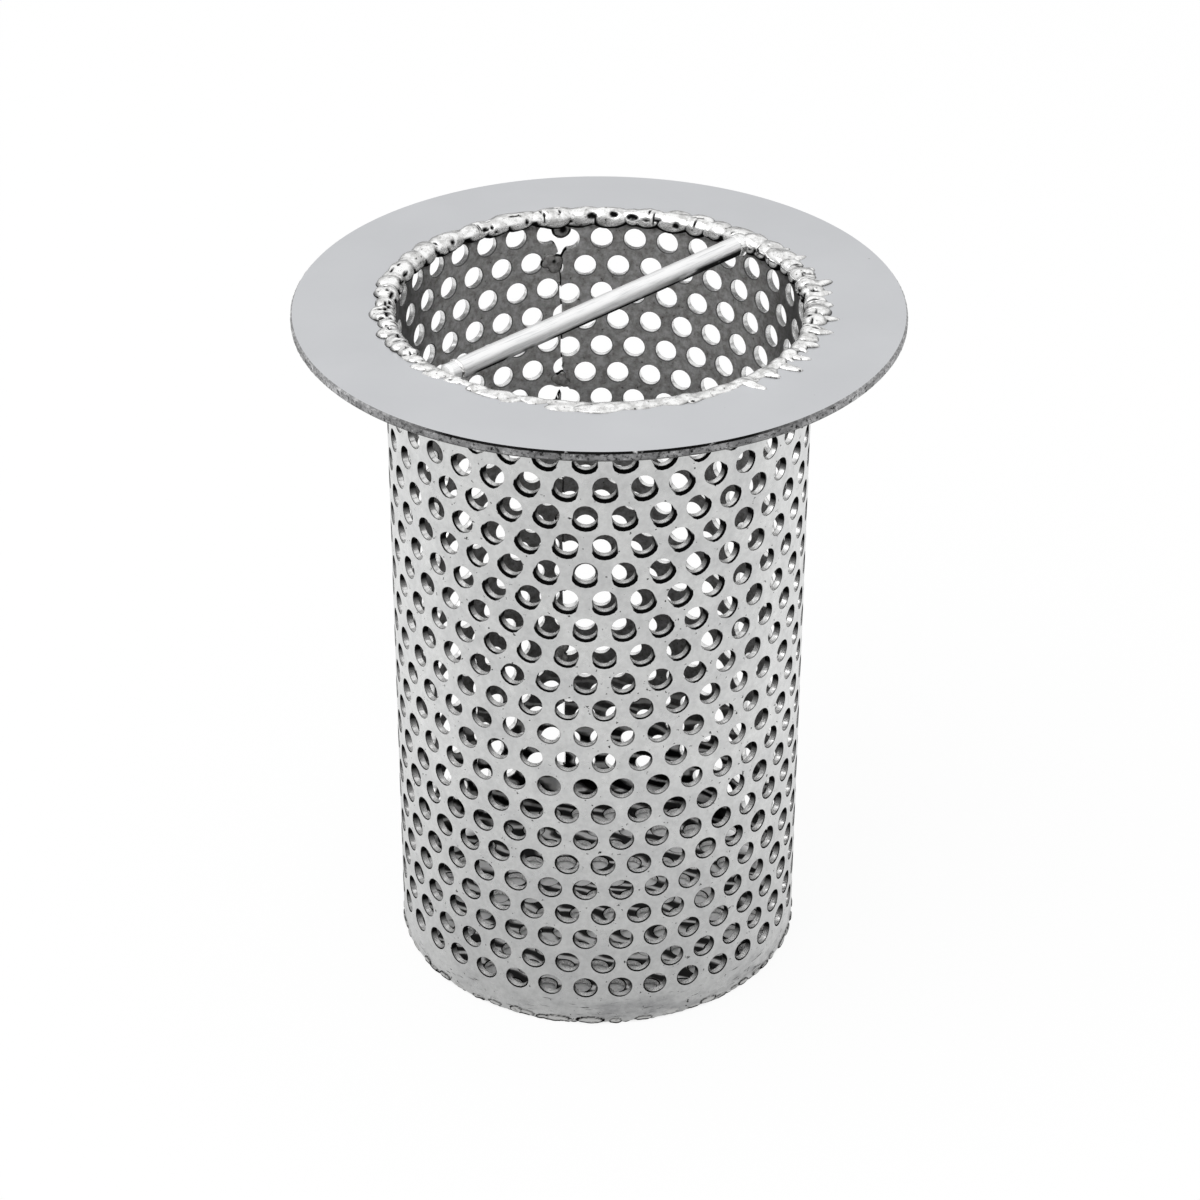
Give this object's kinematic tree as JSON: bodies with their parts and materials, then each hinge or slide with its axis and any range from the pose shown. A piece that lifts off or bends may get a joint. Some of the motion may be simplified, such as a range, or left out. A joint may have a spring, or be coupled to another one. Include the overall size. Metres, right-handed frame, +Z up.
{
  "type": "floor drain strainer",
  "caption": "Round perforated basket with a wide flat ring round its mouth and a round rod across it, made of welded stainless sheet, to hang in a floor drain.",
  "frame": {"origin": "centre of the bottom plate's underside", "axes": "+Z up along the basket's axis, from the bottom plate to the ring; the pictured front faces -Y; the handle rod runs at 45 degrees between +X and +Y"},
  "size_m": [0.151, 0.151, 0.184],
  "materials": {
    "flange_steel": "flat satin stainless plate with a sawn, grainy edge",
    "sheet_steel": "matt mill-finish stainless perforated sheet with fine scratches",
    "weld_steel": "bright, lumpy stainless weld bead",
    "rod_steel": "drawn stainless rod with fine lengthwise lines"
  },
  "bodies": {
    "root": {"flange_ring": "flange_steel", "basket_shell_upper": "sheet_steel", "basket_shell_lower": "sheet_steel", "bottom_plate": "sheet_steel", "rim_weld": "weld_steel", "bottom_weld": "weld_steel", "seam_tack_1": "weld_steel", "seam_tack_2": "weld_steel", "seam_tack_3": "weld_steel", "seam_tack_4": "weld_steel", "handle_rod": "rod_steel", "handle_weld_back": "weld_steel", "handle_weld_front": "weld_steel"}
  },
  "joints": []
}
